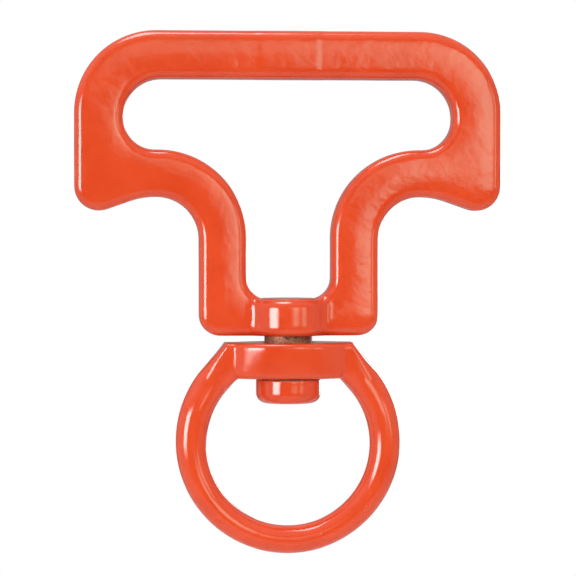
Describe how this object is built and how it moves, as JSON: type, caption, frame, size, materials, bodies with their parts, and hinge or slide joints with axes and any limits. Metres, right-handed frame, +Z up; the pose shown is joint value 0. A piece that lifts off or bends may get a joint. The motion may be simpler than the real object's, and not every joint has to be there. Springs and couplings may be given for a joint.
{
  "type": "swivel ring strap hanger",
  "caption": "Flat T-shaped steel hanger with a wide webbing slot and a round ring that swivels and lifts on a rivet under its neck.",
  "frame": {"origin": "middle of the slot's upper face, where the strap bears, on the swivel axis", "axes": "+Z up along the swivel axis, X across the slot, Y through the plate"},
  "size_m": [0.071, 0.0132, 0.0868],
  "materials": {
    "frame_enamel": "thick gloss orange-red enamel with orange peel",
    "rivet_finish": "gloss orange-red enamel on the head and the upset end, bare brown oxidised steel on the shank",
    "ring_enamel": "thick gloss orange-red enamel with orange peel"
  },
  "bodies": {
    "frame": {"frame": "frame_enamel"},
    "swivel_pin": {"swivel_pin": "rivet_finish"},
    "swivel_ring": {"swivel_ring": "ring_enamel"}
  },
  "joints": [
    {"name": "ring_swivel", "type": "hinge", "parent": "frame", "child": "swivel_pin", "pos_m": [0, 0, -0.04964], "axis": [0, 0, 1], "continuous": true},
    {"name": "ring_lift", "type": "slide", "parent": "swivel_pin", "child": "swivel_ring", "axis": [0, 0, 1], "range_m": [0, 0.00108]}
  ]
}
